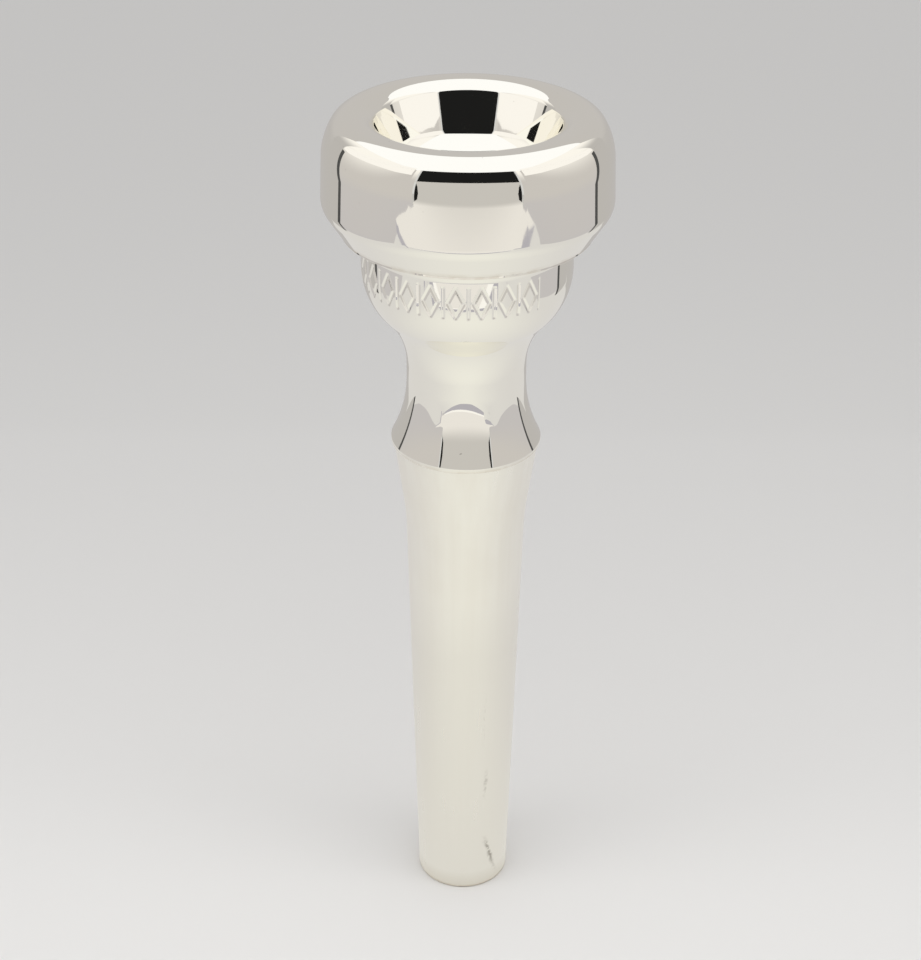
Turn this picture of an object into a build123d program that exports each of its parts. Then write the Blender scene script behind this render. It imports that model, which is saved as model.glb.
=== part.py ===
from build123d import *
import os

# A trumpet mouthpiece that comes apart, turned from brass bar in three pieces: a rim that screws
# onto the cup, and a shank that screws into it. It stands on the end of its shank.
# Millimetres. The origin is the centre of the shank's end face, and +Z runs up the axis.

# Heights along the axis
ring_seat = 53.7            # top of the shank's flare, where the cup's ring sits on it
tenon_top = 64.5            # upper end of the shank's tenon, inside the cup
throat_bottom = 72.0        # where the backbore begins to open
throat_top = 77.6           # where the throat meets the bottom of the cup
rim_seat = 75.95            # the cup's shoulder, which the rim screws down on
seam = 80.4                 # upper end of the cup, hidden inside the rim
top = 86.8                  # highest line of the rim

# Outside radii
shank_end_r = 4.78          # 1:20 taper on the diameter from here up
shank_taper = 0.025         # growth in radius for each millimetre of height
flare_taper = 0.14          # the same, on the steeper flare below the ring
flare_start = 45.5
ring_r = 7.30
waist_r = 5.75
band_r = 9.92               # straight band below the rim, where a maker engraves
flange_r = 11.75
rim_r = 13.52               # where the rim's cone and side would meet

# Air passage radii
exit_r = 4.15               # backbore at the shank's end
backbore_mid = (3.30, 36.0)
tenon_bore_r = 2.25         # backbore at the tenon's upper end
throat_r = 1.83
seam_r = 5.06               # inside of the cup where the rim takes over
bite_r = 8.57               # inner edge of the rim, where the cup begins

# Screw threads. The crests pass each other, so that a piece slides straight off as well.
thread_pitch = 0.8
thread_depth = 0.40
thread_crest = 0.14         # flat on the crest of each turn
thread_clearance = 0.05     # between the crests of the two threads, on the radius
rim_thread_r = 9.60         # crest of the cup's outer thread
rim_thread_start = 76.55
rim_thread_turns = 4
shank_thread_r = 4.35       # crest of the tenon's thread
shank_thread_start = 54.6
shank_thread_turns = 8
thread_relief = 0.1         # runout below the root of a thread
pilot_r = 3.70              # plain end of the tenon, which centres it
pilot_start = 61.4
pilot_clearance = 0.05
end_gap = 0.04              # left at the blind end of each socket, so that the shoulders meet first

edge_break = 0.06           # edges of the two shoulders, seen as fine lines round the outside
shank_end_radius = 0.25


def thread(crest_r, root_r, start, turns):
    """Corners of a ridged wall, from its lowest ridge up."""
    flank = thread_depth * 0.577
    corners = []
    for turn in range(turns):
        z = start + turn * thread_pitch
        corners.append((root_r, z, 0))
        corners.append((crest_r, z + flank, 0))
        corners.append((crest_r, z + flank + thread_crest, 0))
        corners.append((root_r, z + 2 * flank + thread_crest, 0))
    return corners


def outer_thread(crest_r, start, turns):
    """A male thread with a relief below it and above it."""
    root_r = crest_r - thread_depth
    return thread(crest_r, root_r, start, turns)


def inner_thread(male_crest_r, start, turns):
    """The matching female thread, read from the top down."""
    crest_r = male_crest_r + thread_clearance
    root_r = crest_r + thread_depth
    return thread(crest_r, root_r, start, turns)[::-1]


def section(corners):
    """Closed outline through corners given as (radius, height, fillet)."""
    points = [(r, z) for r, z, fillet_r in corners]
    FilletPolyline(*points, radius=[fillet_r for r, z, fillet_r in corners], close=True)


# Shank: tapered outside to fit a trumpet's receiver, with the backbore opening towards its end
flare_r = shank_end_r + shank_taper * flare_start
shoulder_r = flare_r + flare_taper * (ring_seat - flare_start)
tenon_relief_r = shank_thread_r - thread_depth - thread_relief
shank_corners = [
    (exit_r, 0, 0.1),
    (shank_end_r, 0, shank_end_radius),
    (flare_r, flare_start, 30),
    (shoulder_r, ring_seat, edge_break),
    (tenon_relief_r, ring_seat, 0.15),
    (tenon_relief_r, shank_thread_start - 0.1, 0),
    *outer_thread(shank_thread_r, shank_thread_start, shank_thread_turns),
    (pilot_r, pilot_start, 0),
    (pilot_r, tenon_top, 0.25),
    (tenon_bore_r, tenon_top, 0),
    (*backbore_mid, 2000),
]
with BuildPart() as shank:
    with BuildSketch(Plane.XZ):
        with BuildLine():
            section(shank_corners)
        make_face()
    revolve(axis=Axis.Z)
shank.part.label = "shank"

# Cup: ring, waist, bowl and engraved band outside, the cup's bottom and the throat inside
socket_relief_r = shank_thread_r + thread_clearance + thread_depth + thread_relief
cup_relief_r = rim_thread_r - thread_depth - thread_relief
socket_bore_r = pilot_r + pilot_clearance
cup_corners = [
    (socket_relief_r, ring_seat, 0.1),
    (ring_r, ring_seat, edge_break),
    (ring_r, 54.1, edge_break),
    (waist_r, 57.17, 14.3),
    (waist_r, 65.1, 7.15),
    (band_r, 69.27, 6.95),
    (band_r, 75.7, 1.28),
    (flange_r, 75.7, edge_break),
    (flange_r, rim_seat, edge_break),
    (cup_relief_r, rim_seat, 0.15),
    (cup_relief_r, rim_thread_start - 0.1, 0),
    *outer_thread(rim_thread_r, rim_thread_start, rim_thread_turns),
    (rim_thread_r - 0.15, 79.9, 0),
    (rim_thread_r - 0.15, seam, 0.3),
    (seam_r, seam, 0),
    (throat_r, throat_top, 2.2),
    (throat_r, throat_bottom, 20),
    (tenon_bore_r, tenon_top + end_gap, 0),
    (socket_bore_r, tenon_top + end_gap, 0),
    (socket_bore_r, pilot_start + 0.1, 0),
    *inner_thread(shank_thread_r, shank_thread_start, shank_thread_turns),
    (socket_relief_r, shank_thread_start - 0.1, 0),
]
with BuildPart() as cup:
    with BuildSketch(Plane.XZ):
        with BuildLine():
            section(cup_corners)
        make_face()
    revolve(axis=Axis.Z)
cup.part.label = "cup"

# Rim: the part that meets the lips, with the bite and the upper wall of the cup inside
rim_relief_r = rim_thread_r + thread_clearance + thread_depth + thread_relief
rim_corners = [
    (rim_relief_r, rim_seat, 0.1),
    (11.85, rim_seat, edge_break),
    (rim_r, 78.53, 2.0),
    (13.27, 84.49, 6.0),
    (11.882, top, 2.06),
    (9.543, top, 2.4),
    (bite_r, 86.15, 0.9),
    (6.95, 82.05, 2.8),
    (seam_r + end_gap, seam + end_gap, 0),
    (rim_relief_r, seam + end_gap, 0.15),
    (rim_relief_r, 80.0, 0),
    *inner_thread(rim_thread_r, rim_thread_start, rim_thread_turns),
    (rim_relief_r, rim_thread_start - 0.1, 0),
]
with BuildPart() as rim:
    with BuildSketch(Plane.XZ):
        with BuildLine():
            section(rim_corners)
        make_face()
    revolve(axis=Axis.Z)
rim.part.label = "rim"

os.makedirs("parts", exist_ok=True)
export_step(shank.part, "parts/shank.step")
export_step(cup.part, "parts/cup.step")
export_step(rim.part, "parts/rim.step")
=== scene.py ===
import bpy
import math
from mathutils import Matrix, Vector


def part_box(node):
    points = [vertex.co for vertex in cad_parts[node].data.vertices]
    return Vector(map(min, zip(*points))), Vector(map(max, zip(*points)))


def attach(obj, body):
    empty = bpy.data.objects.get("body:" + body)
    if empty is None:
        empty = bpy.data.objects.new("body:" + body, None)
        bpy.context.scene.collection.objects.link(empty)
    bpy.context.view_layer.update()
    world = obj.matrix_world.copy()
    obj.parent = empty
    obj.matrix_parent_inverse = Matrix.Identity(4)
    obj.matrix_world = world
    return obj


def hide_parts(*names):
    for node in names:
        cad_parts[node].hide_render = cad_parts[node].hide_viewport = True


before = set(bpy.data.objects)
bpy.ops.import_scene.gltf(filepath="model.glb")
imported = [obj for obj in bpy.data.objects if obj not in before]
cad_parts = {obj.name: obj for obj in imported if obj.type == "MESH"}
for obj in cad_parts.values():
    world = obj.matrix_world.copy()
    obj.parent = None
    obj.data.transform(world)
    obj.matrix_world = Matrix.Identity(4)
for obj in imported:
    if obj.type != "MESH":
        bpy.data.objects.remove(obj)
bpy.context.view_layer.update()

# A trumpet mouthpiece on a pale floor. Sizes are in millimetres until they reach Blender, in metres.
MM = 0.001
TAU = 2 * math.pi

# Heights of the joints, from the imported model
ring_seat, seam = (round(corner[2] / MM, 3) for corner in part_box("cup"))
rim_seat, top = (round(corner[2] / MM, 3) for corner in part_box("rim"))
foot, tenon_top = (round(corner[2] / MM, 3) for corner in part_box("shank"))
rim_thread = rim_seat + 0.6
shank_thread = ring_seat + 0.9
flare_start = ring_seat - 8.2

# Outside radii
shank_r = 4.78
flare_r = shank_r + 0.025 * (flare_start - foot)            # 1:20 taper on the diameter
shoulder_r = flare_r + 0.14 * (ring_seat - flare_start)
ring_r = 7.30
waist_r = 5.75
band_r = 9.92
flange_r = 11.75

# Radii of the air passage and the joints
exit_r = 4.15
tenon_bore_r = 2.25
throat_r = 1.83
seam_r = 5.06
pilot_r = 3.70
shank_crest = 4.35          # crest of the thread on the shank's tenon
rim_crest = 9.60            # crest of the thread on the cup
clearance = 0.05
relief = 0.1                # runout below the root of a thread
end_gap = 0.04              # left at the blind end of each socket
edge_break = 0.06

# Screw threads
PITCH = 0.8
DEPTH = 0.40
FLANK = DEPTH * 0.577
CREST = 0.14
THREAD_FADE = 0.5           # height over which a turn rises from the plain wall

# The engraved band: heights, where it starts round the axis in degrees, its repeat and its groove
ENGRAVED = (rim_seat - 5.1, rim_seat - 1.8)
ENGRAVED_FROM = 190
ENGRAVED_UNITS = 9
UNIT = 2.33
LOZENGE_HALF = 0.72
GROOVE = 0.20
GROOVE_DEPTH = 0.13
CARVED_R = 9.5              # only the surface outside this radius is engraved
CARVED_STEP = 0.08


# --- Turned pieces -----------------------------------------------------------------------------

def fillet(before, corner, after, radius):
    """Points and normals along a rounded corner, or a sharp corner with its two normals."""
    a, p, b = Vector(before), Vector(corner), Vector(after)
    into, out = (p - a).normalized(), (b - p).normalized()
    n_in, n_out = Vector((into.y, -into.x)), Vector((out.y, -out.x))
    turn = math.atan2(into.x * out.y - into.y * out.x, into.dot(out))
    if radius == 0 or abs(turn) < 1e-4:
        return [(p, n_in, n_out)]
    reach = radius * math.tan(abs(turn) / 2)
    start = p - into * reach
    side = 1 if turn > 0 else -1
    centre = start - n_in * radius * side
    facet_degrees = 3 if radius > 1.5 else 5 if radius > 0.3 else 22
    steps = max(2, math.ceil(abs(math.degrees(turn)) / facet_degrees))
    points = []
    for k in range(steps + 1):
        n = Matrix.Rotation(turn * k / steps, 2) @ n_in
        points.append((centre + n * radius * side, n, n))
    return points


def outline(corners):
    """Rows of a turned surface: point, normal before it, normal after it, and its thread if it has one.

    The corners are (radius, height, fillet), or (radius, height, 0, thread) on a helix.
    """
    rows = []
    for k, (r, z, radius, *helix) in enumerate(corners):
        before = corners[k - 1][:2]
        after = corners[(k + 1) % len(corners)][:2]
        for point, n_in, n_out in fillet(before, (r, z), after, radius):
            rows.append((point, n_in, n_out, helix[0] if helix else None))
    return rows


def thread(crest_r, root_r, start, turns):
    """Corners of a helical ridge; the turns are carried past both ends and fade out there."""
    low, high = round(start - 0.05, 4), round(start + turns * PITCH - 0.15, 4)
    helix = (round(root_r, 4), low, high)       # root radius and the heights that the turns stay between
    corners = [(root_r, low, 0)]
    for turn in range(-1, turns + 1):
        z = start + turn * PITCH
        corners.append((root_r, z, 0, helix))
        corners.append((crest_r, z + FLANK, 0, helix))
        corners.append((crest_r, z + FLANK + CREST, 0, helix))
        corners.append((root_r, z + 2 * FLANK + CREST, 0, helix))
    return corners


def refine(rows, low, high, least_r, step):
    """More rows between two heights on the outside, fine enough to engrave."""
    result = []
    for k, (point, n_in, n_out, helix) in enumerate(rows):
        result.append((point, n_in, n_out, helix))
        after, after_n = rows[(k + 1) % len(rows)][:2]
        if min(point.x, after.x) < least_r or after.y < low or point.y > high or after.y <= point.y:
            continue
        count = math.ceil((after - point).length / step)
        for part in range(1, count):
            n = n_out.lerp(after_n, part / count).normalized()
            result.append((point.lerp(after, part / count), n, n, None))
    return result


def wind(point, helix, angle):
    """Radius and height of a row at an angle round the axis, carried up by its thread."""
    r, z = round(point.x, 4), round(point.y, 4)
    if helix:
        root_r, low, high = helix
        z = min(max(round(z + PITCH * angle / TAU, 4), low), high)
        fade = min(1, (z - low) / THREAD_FADE, (high - z) / THREAD_FADE)
        r = root_r + (r - root_r) * fade
    return r, z


def lathe(name, corners, angles, carve=None):
    """Turned piece; carve(angle, height) is how deep its engraving is.

    Corner normals are exact, except on engraved faces and where a thread meets a plain wall.
    Points that fall together are one vertex, so the surface is closed.
    """
    rows = outline(corners)
    if carve:
        rows = refine(rows, ENGRAVED[0], ENGRAVED[1], CARVED_R, CARVED_STEP)
    points = []
    lookup = {}
    grid = []
    for angle in angles:
        column = []
        for point, _, n_out, helix in rows:
            r, z = wind(point, helix, angle)
            cut = carve(angle, z) if carve and r > CARVED_R and ENGRAVED[0] < z < ENGRAVED[1] else 0
            r -= cut * n_out.x
            place = (r * math.cos(angle), r * math.sin(angle), z - cut * n_out.y)
            key = tuple(round(c, 6) for c in place)
            if key not in lookup:
                lookup[key] = len(points)
                points.append([c * MM for c in place])
            column.append((lookup[key], cut))
        grid.append(column)
    faces = []
    normals = []
    for j in range(len(angles) - 1):
        for i in range(len(rows)):
            k = (i + 1) % len(rows)
            ring = [(grid[j][i], angles[j], rows[i][2]),
                    (grid[j + 1][i], angles[j + 1], rows[i][2]),
                    (grid[j + 1][k], angles[j + 1], rows[k][1]),
                    (grid[j][k], angles[j], rows[k][1])]
            engraved_face = any(cut for (_, cut), _, _ in ring)
            thread_end = (rows[i][3] is None) != (rows[k][3] is None)
            face = []
            face_normals = []
            for (vert, _), angle, n in ring:
                if vert in face:
                    continue
                face.append(vert)
                if engraved_face or thread_end:
                    face_normals.append((0, 0, 0))      # Blender's own smooth normal
                else:
                    face_normals.append((n.x * math.cos(angle), n.x * math.sin(angle), n.y))
            if len(face) > 2:
                faces.append(face)
                normals.extend(face_normals)
    mesh = bpy.data.meshes.new(name)
    mesh.from_pydata(points, [], faces)
    mesh.shade_smooth()
    mesh.normals_split_custom_set(normals)
    obj = bpy.data.objects.new(name, mesh)
    bpy.context.scene.collection.objects.link(obj)
    return obj


def engraving(angle, z):
    """Depth of the row of lozenges and bars round the front of the band."""
    arc = (math.degrees(angle) - ENGRAVED_FROM) * math.radians(1) * band_r
    if not 0 <= arc <= ENGRAVED_UNITS * UNIT:
        return 0
    u = arc % UNIT - UNIT / 2
    v = z - (ENGRAVED[0] + ENGRAVED[1]) / 2
    reach = (ENGRAVED[1] - ENGRAVED[0]) / 2 - GROOVE
    lozenge = abs(abs(u) / LOZENGE_HALF + abs(v) / reach - 1) / math.hypot(1 / LOZENGE_HALF, 1 / reach)
    lozenge = max(lozenge, abs(v) - reach)
    bar = math.hypot(abs(abs(u) - UNIT / 2), max(0, abs(v) - reach))
    return GROOVE_DEPTH * max(0, 1 - min(lozenge, bar) / GROOVE)


# Angles of the columns: even on the plain pieces, close together where the cup is engraved
even_angles = [TAU * k / 256 for k in range(257)]
engraved_angles = [math.radians(2.5 * k) for k in range(75)]
engraved_angles += [math.radians(188 + 0.4 * k) for k in range(313)]
engraved_angles += [math.radians(315 + 2.5 * k) for k in range(19)]


# --- Stage: camera, floor, backdrop and lamp ---------------------------------------------------

def emission(name, low, high=None, start=0, end=1, centre=None):
    """Self-lit sheet, shaded from one colour to another with height, or with distance from a centre."""
    mat = bpy.data.materials.new(name)
    mat.use_nodes = True
    nt = mat.node_tree
    nt.nodes.clear()
    out = nt.nodes.new("ShaderNodeOutputMaterial")
    em = nt.nodes.new("ShaderNodeEmission")
    nt.links.new(em.outputs["Emission"], out.inputs["Surface"])
    if high is None:
        em.inputs["Color"].default_value = (*low, 1)
        return mat
    place = nt.nodes.new("ShaderNodeNewGeometry")
    blend = nt.nodes.new("ShaderNodeMapRange")
    blend.interpolation_type = "SMOOTHSTEP"
    blend.inputs["From Min"].default_value = start * MM
    blend.inputs["From Max"].default_value = end * MM
    mix = nt.nodes.new("ShaderNodeMix")
    mix.data_type = "RGBA"
    mix.inputs["A"].default_value = (*low, 1)
    mix.inputs["B"].default_value = (*high, 1)
    if centre:
        away = nt.nodes.new("ShaderNodeVectorMath")
        away.operation = "DISTANCE"
        away.inputs[1].default_value = Vector(centre) * MM
        nt.links.new(place.outputs["Position"], away.inputs[0])
        nt.links.new(away.outputs["Value"], blend.inputs["Value"])
    else:
        split = nt.nodes.new("ShaderNodeSeparateXYZ")
        nt.links.new(place.outputs["Position"], split.inputs["Vector"])
        nt.links.new(split.outputs["Z"], blend.inputs["Value"])
    nt.links.new(blend.outputs["Result"], mix.inputs["Factor"])
    nt.links.new(mix.outputs["Result"], em.inputs["Color"])
    return mat


# Camera
cam_data = bpy.data.cameras.new("camera")
cam = bpy.data.objects.new("camera", cam_data)
bpy.context.scene.collection.objects.link(cam)
cam_data.sensor_width = 36.0
cam_data.lens = 73.18
cam_data.clip_start = 0.01
cam.location = Vector((-0.50, -167.8, 145.6)) * MM
cam.rotation_mode = "QUATERNION"
tilt = Matrix.Rotation(math.radians(90 - 29.98), 4, "X")
roll = Matrix.Rotation(math.radians(0.371), 4, "Z")
cam.rotation_quaternion = (tilt @ roll).to_quaternion()
bpy.context.scene.camera = cam

# Floor, in metres
half = 20.0
mesh = bpy.data.meshes.new("floor")
mesh.from_pydata([(-half, -half, 0), (half, -half, 0), (half, half, 0), (-half, half, 0)], [],
                 [(0, 1, 2, 3)])
floor = bpy.data.objects.new("floor", mesh)
bpy.context.scene.collection.objects.link(floor)
mat = bpy.data.materials.new("floor")
mat.use_nodes = True
mat.node_tree.nodes["Principled BSDF"].inputs["Base Color"].default_value = (0.8, 0.79, 0.772, 1)
mat.node_tree.nodes["Principled BSDF"].inputs["Roughness"].default_value = 0.9
mat.node_tree.nodes["Principled BSDF"].inputs["Specular IOR Level"].default_value = 0.1
mesh.materials.append(mat)

# Round backdrop of the floor's own far tone, in metres, so that low views show no horizon
backdrop_r = 4
sides = 64
turns = [TAU * k / sides for k in range(sides)]
ring = [(backdrop_r * math.cos(turn), backdrop_r * math.sin(turn)) for turn in turns]
mesh = bpy.data.meshes.new("backdrop")
mesh.from_pydata([(x, y, z) for z in (-1, 8) for x, y in ring], [],
                 [(k, (k + 1) % sides, sides + (k + 1) % sides, sides + k) for k in range(sides)])
mesh.materials.append(emission("backdrop", (0.547, 0.542, 0.534)))
backdrop = bpy.data.objects.new("backdrop", mesh)
bpy.context.scene.collection.objects.link(backdrop)
backdrop.visible_diffuse = False
backdrop.visible_glossy = False
backdrop.visible_shadow = False

# World
world = bpy.data.worlds.new("world")
bpy.context.scene.world = world
world.use_nodes = True
world.node_tree.nodes["Background"].inputs["Color"].default_value = (0.68, 0.68, 0.685, 1)
world.node_tree.nodes["Background"].inputs["Strength"].default_value = 1.0

# Key light for the floor
light = bpy.data.lights.new("soft_top", "AREA")
light.shape = "RECTANGLE"
light.size = 0.30
light.size_y = 0.06
light.energy = 0.112
lamp = bpy.data.objects.new("soft_top", light)
lamp.location = (0, -0.04, 0.14)
bpy.context.scene.collection.objects.link(lamp)
lamp.visible_glossy = False
lamp.visible_camera = False


# --- Light tent: self-lit cards that only reflections show -------------------------------------

def card(name, corners, *look):
    """Flat sheet with its corners in millimetres; look is what emission takes after the name."""
    mesh = bpy.data.meshes.new(name)
    mesh.from_pydata([Vector(c) * MM for c in corners], [], [list(range(len(corners)))])
    mesh.materials.append(emission(name, *look))
    obj = bpy.data.objects.new(name, mesh)
    bpy.context.scene.collection.objects.link(obj)
    obj.visible_camera = False
    obj.visible_diffuse = False
    obj.visible_shadow = False
    obj.visible_transmission = False


def across(name, y, corners, *look):
    """Card that faces along Y, from (x, z) corners."""
    card(name, [(x, y, z) for x, z in corners], *look)


def along(name, x, corners, *look):
    """Card that faces along X, from (y, z) corners."""
    card(name, [(x, y, z) for y, z in corners], *look)


def level(name, z, *look):
    """Card over the whole tent at one height."""
    card(name, [(-WIDE, FRONT, z), (WIDE, FRONT, z), (WIDE, BACK, z), (-WIDE, BACK, z)], *look)


LOW = (0.555, 0.535, 0.545)
GREY = (0.594, 0.567, 0.549)
PALE = (0.50, 0.482, 0.472)
BRIGHT = (1.0, 0.97, 0.93)
CREAM = (0.83, 0.80, 0.77)
DARK = (0.012, 0.012, 0.012)
GAP = (0.08, 0.08, 0.08)
WHITE = (1.03, 1.03, 1.04)
# Painted shadow under the hanging sheet and its torn edges
SHEET_SHADOW = (0.46, 0.445, 0.49)
# The floor as its reflections show it, with the lamp's pool of light painted in, brightest towards the front:
# near colour, far colour, from and to distance, centre
GLOW = ((0.86, 0.85, 0.795), (0.70, 0.685, 0.675), 5, 140, (0, -75, 0))

# The tent's walls, its ceiling, and where the panels meet
WIDE = 110
FRONT = -114
CORNER = 39                 # a side panel ends here, and a dark gap divides it from the back panel
GAP_END = CORNER + 9
BACK = 100
CEILING = 192
SKIRT = 9                   # the side panels hang down to this height
PANEL_TOP = 76              # above it the side panels brighten towards the ceiling
GAP_TOP = 104
FRONT_TOP = 130             # the same for the front panels
OPENING = 97                # half the width of the opening in the front, which the camera looks through

for side in (-1, 1):
    x = side * WIDE
    along("side_wall", x, [(FRONT, SKIRT), (CORNER, SKIRT), (CORNER, PANEL_TOP), (FRONT, PANEL_TOP)],
          LOW, GREY, 30, 76)
    along("side_top", x, [(FRONT, PANEL_TOP), (CORNER, PANEL_TOP), (CORNER, GAP_TOP), (GAP_END, GAP_TOP),
                          (GAP_END, CEILING), (FRONT, CEILING)], BRIGHT, GREY, 85, 154, (x, 30, 230))
    along("corner_gap", x, [(CORNER, SKIRT), (GAP_END, SKIRT), (GAP_END, GAP_TOP), (CORNER, GAP_TOP)], GAP)
    card("back_side", [(x + side, CORNER, 1), (x, BACK, 1), (x, BACK, CEILING),
                       (x + side, CORNER, CEILING)], PALE, BRIGHT, 120, 185)
    edge = side * OPENING
    across("front_side", FRONT, [(edge, SKIRT), (x, SKIRT), (x, FRONT_TOP), (edge, FRONT_TOP)],
           LOW, GREY, 30, 76)
    across("front_side_top", FRONT, [(edge, FRONT_TOP), (x, FRONT_TOP), (x, CEILING), (edge, CEILING)],
           GREY, BRIGHT, 130, 190)
    # Small light close to each side of the rim, which brightens the inside of the cup
    along("cup_fill", side * 40, [(-44, 110), (-29, 103), (-10, 96.5), (4, 92.5), (9, 92), (9, 97), (4, 99),
                                  (-10, 109), (-29, 121), (-44, 130)], (0.99, 0.96, 0.93))
across("back_wall", BACK, [(-WIDE, 0.5), (WIDE, 0.5), (WIDE, CEILING), (-WIDE, CEILING)],
       PALE, (0.55, 0.53, 0.52), 70, 110)
level("top_light", CEILING, WHITE)
level("floor_glow", 0.3, *GLOW)

# A sheet hangs across the lower part of the opening, with a painted highlight along its bottom edge
across("front_sheet", FRONT - 2, [(-97, 15), (-60, 14.5), (-25, 16), (45, 20), (97, 21.5), (97, 50), (86, 66),
                                  (84, 88), (88, 112), (97, 134), (-97, 134), (-88, 112), (-84, 88),
                                  (-86, 66), (-97, 50)], CREAM, (0.575, 0.555, 0.535), 38, 66)
# Painted highlight: a bright strip along the sheet's bottom edge
across("front_highlight", FRONT - 1.5, [(-97, 15), (-60, 14.5), (-25, 16), (45, 20), (97, 21.5), (97, 23.5),
                                     (45, 23), (-25, 19.5), (-60, 17.5), (-97, 17)], (0.98, 0.96, 0.93))
# Painted shadow: a dark lilac strip under the sheet's bottom edge
across("front_sheet_shadow", FRONT - 4, [(-97, 4), (97, 4), (97, 24), (-97, 24)], SHEET_SHADOW)
across("front_lip", FRONT, [(-110, 0.2), (110, 0.2), (110, 20), (97, 20), (60, 14), (20, 8), (-25, 7),
                            (-60, 9), (-90, 12), (-110, 12)], *GLOW)
across("front_opening", FRONT - 6, [(-97, 40), (97, 40), (97, CEILING + 5), (-97, CEILING + 5)], DARK)

# The sheet laps onto the side walls with torn edges, each with a painted shadow under it
torn_left = [(-80, 41.2), (-83, 39.9), (-86.5, 38.9), (-91, 36.9), (-96.5, 35.2), (-103, 33), (-109, 31),
             (-112, 8)]
torn_right = [(-92, 38.1), (-100, 36.1), (-108, 33.9), (FRONT, 33.4)]
along("lap_left", -108.8, [(FRONT, 36.9), (-106, 37.7), (-97, 39.2), (-88, 40.5), *torn_left,
                           (FRONT, 8)], CREAM)
across("lap_front_left", FRONT + 1, [(-110, 36.9), (-101, 38.6), (-94, 40.4), (-90, 43), (-90, 17),
                                     (-110, 17)], CREAM)
along("lap_right", 108.8, [(FRONT, 36.3), (-100, 37.4), *torn_right], CREAM)
across("lap_front_right", FRONT + 1, [(110, 36.3), (104, 37.1), (96, 39.7), (89, 45.5), (89, 34.7),
                                      (97, 34.4), (110, 33.4)], CREAM)
along("wedge_left", -109, [*torn_left, (-107, 8), (-104, 30.5), (-98, 33.2), (-92, 35.2), (-87, 37),
                           (-83, 38.6)], SHEET_SHADOW)
along("wedge_right", 108.5, [*torn_right, (FRONT, 28), (-104, 33)], SHEET_SHADOW)
across("wedge_front", FRONT + 2, [(110, 33.4), (104, 33.8), (97, 34.4), (91, 34.7), (82, 35), (76, 34),
                                  (73, 29), (80, 27), (95, 27), (110, 28)], SHEET_SHADOW)

# The floor sheet curls up in the front corners and along the side walls
curl_end = [(-20, 22), (10, 18.5), (CORNER, 18), (CORNER, SKIRT), (BACK, SKIRT), (BACK, 0.2), (FRONT, 0.2)]
across("curl_front", FRONT + 1.5, [(110, 29), (95, 28), (80, 28), (73, 30), (70, 24), (70, 15),
                                   (110, 15)], *GLOW)
along("curl_left", -109.4, [(FRONT, 36), (-86, 37.5), (-82, 38), (-73, 36.5), (-62, 33.5), (-54, 31),
                            (-45, 28), (-37, 25.5), *curl_end], *GLOW)
along("curl_right", 109.4, [(FRONT, 33), (-108, 33.5), (-100, 36), (-92, 38), (-82, 37.5), (-74, 35.5),
                            (-65, 32), (-57, 29), (-50, 27), (-35, 24), *curl_end], *GLOW)


# --- Metal finishes ----------------------------------------------------------------------------

class Surface:
    """Node builder for one metal finish, in the piece's own coordinates."""

    def __init__(self, name):
        self.mat = bpy.data.materials.new(name)
        self.mat.use_nodes = True
        self.tree = self.mat.node_tree
        self.shader = self.tree.nodes["Principled BSDF"]
        self.shader.inputs["Metallic"].default_value = 1
        place = self.tree.nodes.new("ShaderNodeTexCoord")
        self.place = place.outputs["Object"]
        split = self.tree.nodes.new("ShaderNodeSeparateXYZ")
        self.tree.links.new(self.place, split.inputs["Vector"])
        self.x, self.y, self.z = split.outputs

    def set(self, socket, value):
        """Link an output to a socket, or put a plain value on it."""
        if isinstance(value, (int, float, tuple)):
            socket.default_value = value
        else:
            self.tree.links.new(value, socket)

    def math(self, kind, a, b=0.0, c=0.0):
        node = self.tree.nodes.new("ShaderNodeMath")
        node.operation = kind
        for socket, value in zip(node.inputs, (a, b, c)):
            self.set(socket, value)
        return node.outputs["Value"]

    def noise(self, scale, stretch=(1, 1, 1), detail=3, rough=0.5):
        """Fractal noise, with scale in features for each metre."""
        move = self.tree.nodes.new("ShaderNodeMapping")
        move.inputs["Scale"].default_value = stretch
        self.tree.links.new(self.place, move.inputs["Vector"])
        node = self.tree.nodes.new("ShaderNodeTexNoise")
        node.inputs["Scale"].default_value = scale
        node.inputs["Detail"].default_value = detail
        node.inputs["Roughness"].default_value = rough
        self.tree.links.new(move.outputs["Vector"], node.inputs["Vector"])
        return node.outputs["Fac"]

    def ramp(self, value, low, high, to_low=0.0, to_high=1.0):
        node = self.tree.nodes.new("ShaderNodeMapRange")
        self.set(node.inputs["Value"], value)
        self.set(node.inputs["From Min"], low)
        self.set(node.inputs["From Max"], high)
        self.set(node.inputs["To Min"], to_low)
        self.set(node.inputs["To Max"], to_high)
        return node.outputs["Result"]

    def band(self, middle, width):
        """1 at a height in millimetres, falling to 0 over width on both sides."""
        away = self.math("ABSOLUTE", self.math("SUBTRACT", self.z, middle * MM))
        return self.ramp(away, 0.0, width * MM, 1.0, 0.0)

    def blend(self, factor, a, b):
        node = self.tree.nodes.new("ShaderNodeMix")
        node.data_type = "RGBA"
        self.set(node.inputs["Factor"], factor)
        self.set(node.inputs["A"], a)
        self.set(node.inputs["B"], b)
        return node.outputs["Result"]

    def bump(self, height, distance):
        """Relief with its distance in metres."""
        node = self.tree.nodes.new("ShaderNodeBump")
        node.inputs["Distance"].default_value = distance
        self.set(node.inputs["Height"], height)
        self.set(self.shader.inputs["Normal"], node.outputs["Normal"])


SILVER = (0.97, 0.955, 0.89, 1)
SILVER_STREAK = (0.925, 0.90, 0.83, 1)
SILVER_CLOUD = (0.90, 0.87, 0.79, 1)
# Darker tone of the shank below a wavy line part way up
LOWER_TONE = (0.885, 0.865, 0.805, 1)
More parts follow.
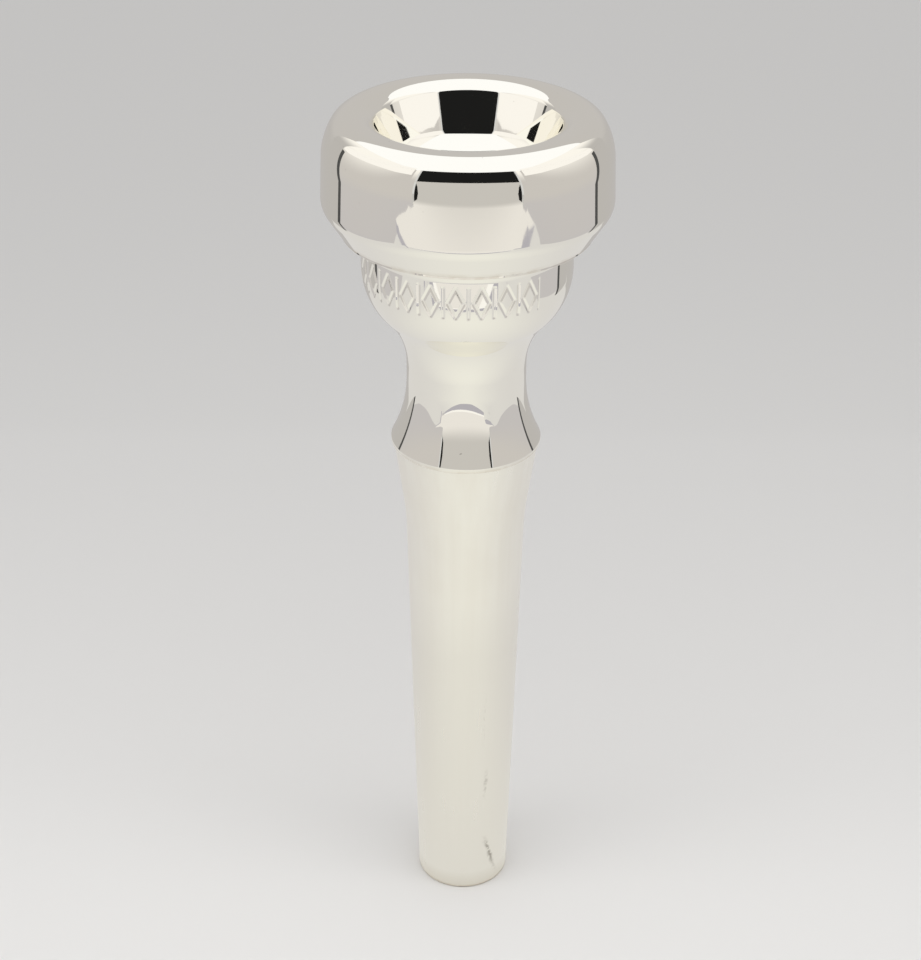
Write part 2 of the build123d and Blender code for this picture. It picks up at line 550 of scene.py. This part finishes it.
# Painted shade: the reflection of the floor's contact shadow at the shank's foot
CONTACT_SHADE = (0.70, 0.66, 0.57, 1)
TARNISH = (0.70, 0.63, 0.52, 1)
GRIME = (0.20, 0.17, 0.14, 1)

# Handling marks on the shank: middle height, half length, degrees round from the front, lean in
# radians for each millimetre up, half width in radians, strength
MARKS = [
    (4.0, 3.2, 40, -0.060, 0.080, 0.75),
    (5.2, 1.6, 36, -0.075, 0.055, 0.45),
    (14.2, 2.2, 30, 0.010, 0.050, 0.40),
    (23.0, 4.0, 27, 0.0, 0.022, 0.15),
]


def mirror_plate(name, seams):
    """Polished silver plate with smudges, wheel marks and a little tarnish kept in its joints."""
    s = Surface(name)
    smudge = s.ramp(s.noise(260, detail=4, rough=0.6), 0.52, 0.75)
    wheel = s.noise(420, (1, 1, 55), detail=2)
    rough = s.math("MULTIPLY_ADD", smudge, 0.035, 0.012)
    s.set(s.shader.inputs["Roughness"], s.math("MULTIPLY_ADD", wheel, 0.02, rough))
    worn = s.math("MULTIPLY", s.ramp(s.noise(900, detail=3), 0.35, 0.65, 0.15, 1.0), 0.5)
    joint = 0.0
    for middle, width in seams:
        joint = s.math("MAXIMUM", s.band(middle, width), joint)
    speck = s.ramp(s.noise(2300, detail=1), 0.80, 0.84, 0.0, 0.35)
    color = s.blend(s.math("MULTIPLY", joint, worn), SILVER, TARNISH)
    s.set(s.shader.inputs["Base Color"], s.blend(speck, color, GRIME))
    ripple = s.math("MULTIPLY_ADD", s.noise(150, detail=1), 1.0, s.math("MULTIPLY", wheel, 0.002))
    s.bump(ripple, 0.000012)
    return s.mat


def smear_over(s, base):
    """The dark marks of MARKS over a colour, broken up by fine noise."""
    around = s.math("ARCTAN2", s.x, s.math("MULTIPLY", s.y, -1.0))
    around = s.math("MULTIPLY_ADD", s.noise(900, detail=2), 0.10, around)
    broken = s.ramp(s.noise(2200, detail=2), 0.38, 0.58)
    for middle, half_length, turn, lean, half_width, strength in MARKS:
        line = s.math("MULTIPLY_ADD", s.z, -lean / MM, s.math("SUBTRACT", around, math.radians(turn)))
        near = s.ramp(s.math("ABSOLUTE", s.math("ADD", line, lean * middle)), 0.0, half_width, 1.0, 0.0)
        mark = s.math("MULTIPLY", s.math("MULTIPLY", near, s.band(middle, half_length)), broken)
        base = s.blend(s.math("MULTIPLY", mark, strength), base, GRIME)
    return base


def satin_plate(name):
    """Brushed silver plate: streaks along the shank, darker below a wavy line part way up, and darker at its
    end as a painted reflection of the contact shadow.
    """
    s = Surface(name)
    streak = s.noise(700, (1, 1, 0.02), detail=4, rough=0.65)
    cloud = s.noise(120, detail=3)
    rough = s.math("MULTIPLY_ADD", streak, 0.16, 0.17)
    s.set(s.shader.inputs["Roughness"], s.math("MULTIPLY_ADD", cloud, 0.10, rough))
    base = s.blend(s.ramp(streak, 0.35, 0.65, 0.0, 0.6), SILVER, SILVER_STREAK)
    base = s.blend(s.ramp(cloud, 0.5, 0.75, 0.0, 0.35), base, SILVER_CLOUD)
    # The shank is darker below a wavy line part way up
    lower_edge = s.math("MULTIPLY_ADD", s.noise(60, detail=2), 0.024, s.z)
    base = s.blend(s.ramp(lower_edge, 0.043, 0.053, 0.8, 0.0), base, LOWER_TONE)
    # Painted shade: the shank darkens over its last 2 mm, standing in for the reflected contact shadow on the
    # floor
    base = s.blend(s.ramp(s.z, 0.0, 0.0022, 0.65, 0.0), base, CONTACT_SHADE)
    edge = s.math("MAXIMUM", s.band(foot + 0.1, 0.35), s.band(ring_seat, 0.25))
    base = s.blend(s.math("MULTIPLY", edge, s.ramp(s.noise(1500), 0.3, 0.6, 0.35, 0.9)), base, TARNISH)
    s.set(s.shader.inputs["Base Color"], smear_over(s, base))
    s.bump(s.math("MULTIPLY_ADD", streak, 1.0, s.math("MULTIPLY", cloud, 0.8)), 0.000010)
    return s.mat


rim_look = mirror_plate("rim_plate", [(rim_seat, 0.5), (rim_seat - 0.15, 0.3)])
cup_look = mirror_plate("cup_plate", [(rim_seat - 0.2, 0.6), (ring_seat + 0.05, 0.35)])
shank_look = satin_plate("shank_plate")


# --- The three pieces --------------------------------------------------------------------------
# Each outline starts at the lower inside corner and runs up the outside, then down the inside.

shank_relief_r = shank_crest - DEPTH - relief
shank_corners = [
    (exit_r, foot, 0.1),
    (shank_r, foot, 0.25),
    (flare_r, flare_start, 30),
    (shoulder_r, ring_seat, edge_break),
    (shank_relief_r, ring_seat, 0.15),
    (shank_relief_r, shank_thread - 0.1, 0),
    *thread(shank_crest, shank_crest - DEPTH, shank_thread, 8),
    (pilot_r, shank_thread + 6.8, 0),
    (pilot_r, tenon_top, 0.25),
    (tenon_bore_r, tenon_top, 0),
    (3.30, foot + 36, 2000),
]
socket_relief_r = shank_crest + clearance + DEPTH + relief
socket_bore_r = pilot_r + clearance
cup_relief_r = rim_crest - DEPTH - relief
cup_corners = [
    (socket_relief_r, ring_seat, 0.1),
    (ring_r, ring_seat, edge_break),
    (ring_r, ring_seat + 0.4, edge_break),
    (waist_r, ring_seat + 3.47, 14.3),
    (waist_r, ring_seat + 11.4, 7.15),
    (band_r, rim_seat - 6.68, 6.95),
    (band_r, rim_seat - 0.25, 1.28),
    (flange_r, rim_seat - 0.25, edge_break),
    (flange_r, rim_seat, edge_break),
    (cup_relief_r, rim_seat, 0.15),
    (cup_relief_r, rim_thread - 0.1, 0),
    *thread(rim_crest, rim_crest - DEPTH, rim_thread, 4),
    (rim_crest - 0.15, seam - 0.5, 0),
    (rim_crest - 0.15, seam, 0.3),
    (seam_r, seam, 0),
    (throat_r, seam - 2.8, 2.2),
    (throat_r, seam - 8.4, 20),
    (tenon_bore_r, tenon_top + end_gap, 0),
    (socket_bore_r, tenon_top + end_gap, 0),
    (socket_bore_r, shank_thread + 6.9, 0),
    *thread(shank_crest + clearance, shank_crest + clearance + DEPTH, shank_thread, 8)[::-1],
    (socket_relief_r, shank_thread - 0.1, 0),
]
rim_relief_r = rim_crest + clearance + DEPTH + relief
rim_corners = [
    (rim_relief_r, rim_seat, 0.1),
    (11.85, rim_seat, edge_break),
    (13.518, rim_seat + 2.58, 2.0),
    (13.27, top - 2.31, 6.0),
    (11.882, top, 2.06),
    (9.543, top, 2.4),
    (8.57, top - 0.65, 0.9),
    (6.95, top - 4.75, 2.8),
    (seam_r + end_gap, seam + end_gap, 0),
    (rim_relief_r, seam + end_gap, 0.15),
    (rim_relief_r, seam - 0.4, 0),
    *thread(rim_crest + clearance, rim_crest + clearance + DEPTH, rim_thread, 4)[::-1],
    (rim_relief_r, rim_thread - 0.1, 0),
]
pieces = [
    (lathe("rim_visual", rim_corners, even_angles), "rim", "mirror_plate", rim_look),
    (lathe("cup_visual", cup_corners, engraved_angles, engraving), "cup", "mirror_plate", cup_look),
    (lathe("shank_visual", shank_corners, even_angles), "shank", "satin_plate", shank_look),
]
for obj, node, slot, look in pieces:
    obj.data.materials.append(look)
    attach(obj, node)
    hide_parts(node)

bpy.context.scene.view_settings.view_transform = "Standard"
